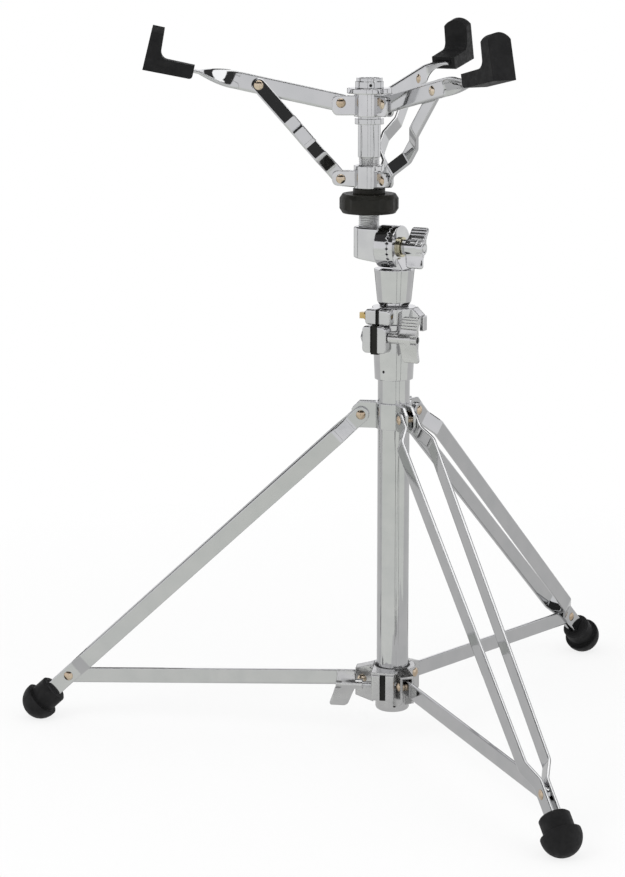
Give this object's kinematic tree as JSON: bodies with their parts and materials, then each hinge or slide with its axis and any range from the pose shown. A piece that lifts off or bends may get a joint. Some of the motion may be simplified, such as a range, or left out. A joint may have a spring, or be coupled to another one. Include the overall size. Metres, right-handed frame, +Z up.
{
  "type": "snare drum stand",
  "caption": "Folding tripod stand with height mast, ratchet tilter and folding three-arm basket that holds a snare drum.",
  "frame": {"origin": "on the floor under the base tube's axis", "axes": "+Z up along the base tube, -X along the left leg of the picture"},
  "size_m": [0.5264, 0.6026, 0.6421],
  "materials": {
    "chrome": "bright plated steel",
    "rivet": "nickel plated, warm tint",
    "nylon": "moulded black nylon",
    "knob_plastic": "moulded black, fine grain",
    "brass": "plain turned brass",
    "rubber": "matte moulded rubber"
  },
  "bodies": {
    "base": {"base_tube": "chrome", "end_cap": "chrome", "leg_collar": "chrome", "leg_pins": "rivet", "receiver": "chrome", "clamp_bushing": "nylon", "clamp_nut": "chrome"},
    "collar": {"lower_collar": "chrome", "collar_bushing": "nylon", "collar_rivets": "rivet"},
    "collar_wing": {"collar_wing_bolt": "chrome"},
    "clamp_wing": {"clamp_wing_bolt": "chrome"},
    "mast": {"inner_tube": "chrome", "memory_lock": "chrome", "memory_bushing": "nylon", "tilter_base": "chrome", "tilter_bolt": "chrome", "tilter_washer": "brass"},
    "key_screw": {"memory_screw": "brass"},
    "tilter_wing": {"tilter_wing_nut": "chrome"},
    "head": {"tilter_head": "chrome", "basket_rod": "chrome", "rod_collar": "chrome", "upper_hub": "chrome", "upper_hub_rivets": "rivet", "basket_cap": "chrome"},
    "slide_hub": {"lower_hub": "chrome", "lower_hub_rivets": "rivet"},
    "knob_body": {"knob": "knob_plastic", "knob_washer": "knob_plastic"},
    "brace_body_left": {"brace_left": "chrome"},
    "leg_body_left": {"leg_straps_left": "chrome", "leg_foot_left": "rubber", "leg_rivets_left": "rivet"},
    "arm_body_left": {"arm_left": "chrome", "arm_tip_left": "rubber", "arm_rivet_left": "rivet"},
    "strut_body_left": {"strut_left": "chrome", "strut_rivet_left": "rivet"},
    "brace_body_rear": {"brace_rear": "chrome"},
    "leg_body_rear": {"leg_straps_rear": "chrome", "leg_foot_rear": "rubber", "leg_rivets_rear": "rivet"},
    "arm_body_rear": {"arm_rear": "chrome", "arm_tip_rear": "rubber", "arm_rivet_rear": "rivet"},
    "strut_body_rear": {"strut_rear": "chrome", "strut_rivet_rear": "rivet"},
    "brace_body_front": {"brace_front": "chrome"},
    "leg_body_front": {"leg_straps_front": "chrome", "leg_foot_front": "rubber", "leg_rivets_front": "rivet"},
    "arm_body_front": {"arm_front": "chrome", "arm_tip_front": "rubber", "arm_rivet_front": "rivet"},
    "strut_body_front": {"strut_front": "chrome", "strut_rivet_front": "rivet"}
  },
  "joints": [
    {"name": "tripod_fold", "type": "slide", "parent": "base", "child": "collar", "axis": [0, 0, 1], "range_m": [0, 0.14558]},
    {"name": "collar_wing_turn", "type": "hinge", "parent": "collar", "child": "collar_wing", "pos_m": [-0.06, -0.0232, 0.0518], "axis": [-1, 0, 0], "range_deg": [0, 360]},
    {"name": "clamp_wing_turn", "type": "hinge", "parent": "base", "child": "clamp_wing", "pos_m": [0.0111, -0.02798, 0.3685], "axis": [0.9397, -0.342, 0], "range_deg": [0, 360]},
    {"name": "mast_height", "type": "slide", "parent": "base", "child": "mast", "axis": [0, 0, 1], "range_m": [0, 0.18]},
    {"name": "key_screw_turn", "type": "hinge", "parent": "mast", "child": "key_screw", "pos_m": [-0.00701, -0.01926, 0.387], "axis": [-0.9397, 0.342, 0], "range_deg": [0, 360]},
    {"name": "tilter_wing_turn", "type": "hinge", "parent": "mast", "child": "tilter_wing", "pos_m": [0.01879, -0.00684, 0.447], "axis": [0.9397, -0.342, 0], "range_deg": [0, 360]},
    {"name": "basket_tilt", "type": "hinge", "parent": "mast", "child": "head", "pos_m": [0, 0, 0.447], "axis": [0.9397, -0.342, 0], "range_deg": [-90, 90]},
    {"name": "basket_fold", "type": "slide", "parent": "head", "child": "slide_hub", "axis": [0, 0, 1], "range_m": [0, 0.03069]},
    {"name": "knob_turn", "type": "hinge", "parent": "slide_hub", "child": "knob_body", "pos_m": [-0.02377, 0.00865, 0.476], "axis": [0, 0, 1], "range_deg": [-1, 3684.28]},
    {"name": "brace_swing_left", "type": "hinge", "parent": "collar", "child": "brace_body_left", "pos_m": [-0.027, 0, 0.0515], "axis": [0, -1, 0], "range_deg": [-1, 82.53]},
    {"name": "leg_swing_left", "type": "hinge", "parent": "brace_body_left", "child": "leg_body_left", "pos_m": [-0.3006, 0, 0.042], "axis": [0, -1, 0], "range_deg": [-40.08, 1]},
    {"name": "arm_swing_left", "type": "hinge", "parent": "head", "child": "arm_body_left", "pos_m": [-0.04869, 0.00426, 0.5734], "axis": [0.1736, -0.9848, 0], "range_deg": [-68.6, 1]},
    {"name": "strut_swing_left", "type": "hinge", "parent": "slide_hub", "child": "strut_body_left", "pos_m": [-0.04869, 0.00426, 0.5064], "axis": [0.1736, -0.9848, 0], "range_deg": [-35.43, 1]},
    {"name": "brace_swing_rear", "type": "hinge", "parent": "collar", "child": "brace_body_rear", "pos_m": [0.0135, 0.02338, 0.0515], "axis": [-0.866, 0.5, 0], "range_deg": [-1, 82.53]},
    {"name": "leg_swing_rear", "type": "hinge", "parent": "brace_body_rear", "child": "leg_body_rear", "pos_m": [0.1503, 0.26032, 0.042], "axis": [-0.866, 0.5, 0], "range_deg": [-40.08, 1]},
    {"name": "arm_swing_rear", "type": "hinge", "parent": "head", "child": "arm_body_rear", "pos_m": [-0.01512, 0.03243, 0.5734], "axis": [-0.9397, 0.342, 0], "range_deg": [-68.6, 1]},
    {"name": "strut_swing_rear", "type": "hinge", "parent": "slide_hub", "child": "strut_body_rear", "pos_m": [-0.01512, 0.03243, 0.5064], "axis": [-0.9397, 0.342, 0], "range_deg": [-35.43, 1]},
    {"name": "brace_swing_front", "type": "hinge", "parent": "collar", "child": "brace_body_front", "pos_m": [0.0135, -0.02338, 0.0515], "axis": [0.866, 0.5, 0], "range_deg": [-1, 82.53]},
    {"name": "leg_swing_front", "type": "hinge", "parent": "brace_body_front", "child": "leg_body_front", "pos_m": [0.1503, -0.26032, 0.042], "axis": [0.866, 0.5, 0], "range_deg": [-40.08, 1]},
    {"name": "arm_swing_front", "type": "hinge", "parent": "head", "child": "arm_body_front", "pos_m": [-0.00751, -0.01073, 0.5734], "axis": [0.766, 0.6428, 0], "range_deg": [-68.6, 1]},
    {"name": "strut_swing_front", "type": "hinge", "parent": "slide_hub", "child": "strut_body_front", "pos_m": [-0.00751, -0.01073, 0.5064], "axis": [0.766, 0.6428, 0], "range_deg": [-35.43, 1]}
  ],
  "couplings": [
    {"joint": "knob_turn", "follows": "basket_fold", "rad_per_m": 2094.4},
    {"joint": "brace_swing_left", "follows": "tripod_fold", "rad_per_m": 9.7747},
    {"joint": "leg_swing_left", "follows": "tripod_fold", "rad_per_m": -4.6856},
    {"joint": "arm_swing_left", "follows": "basket_fold", "rad_per_m": -38.439},
    {"joint": "strut_swing_left", "follows": "basket_fold", "rad_per_m": -19.577},
    {"joint": "brace_swing_rear", "follows": "tripod_fold", "rad_per_m": 9.7747},
    {"joint": "leg_swing_rear", "follows": "tripod_fold", "rad_per_m": -4.6856},
    {"joint": "arm_swing_rear", "follows": "basket_fold", "rad_per_m": -38.439},
    {"joint": "strut_swing_rear", "follows": "basket_fold", "rad_per_m": -19.577},
    {"joint": "brace_swing_front", "follows": "tripod_fold", "rad_per_m": 9.7747},
    {"joint": "leg_swing_front", "follows": "tripod_fold", "rad_per_m": -4.6856},
    {"joint": "arm_swing_front", "follows": "basket_fold", "rad_per_m": -38.439},
    {"joint": "strut_swing_front", "follows": "basket_fold", "rad_per_m": -19.577}
  ]
}
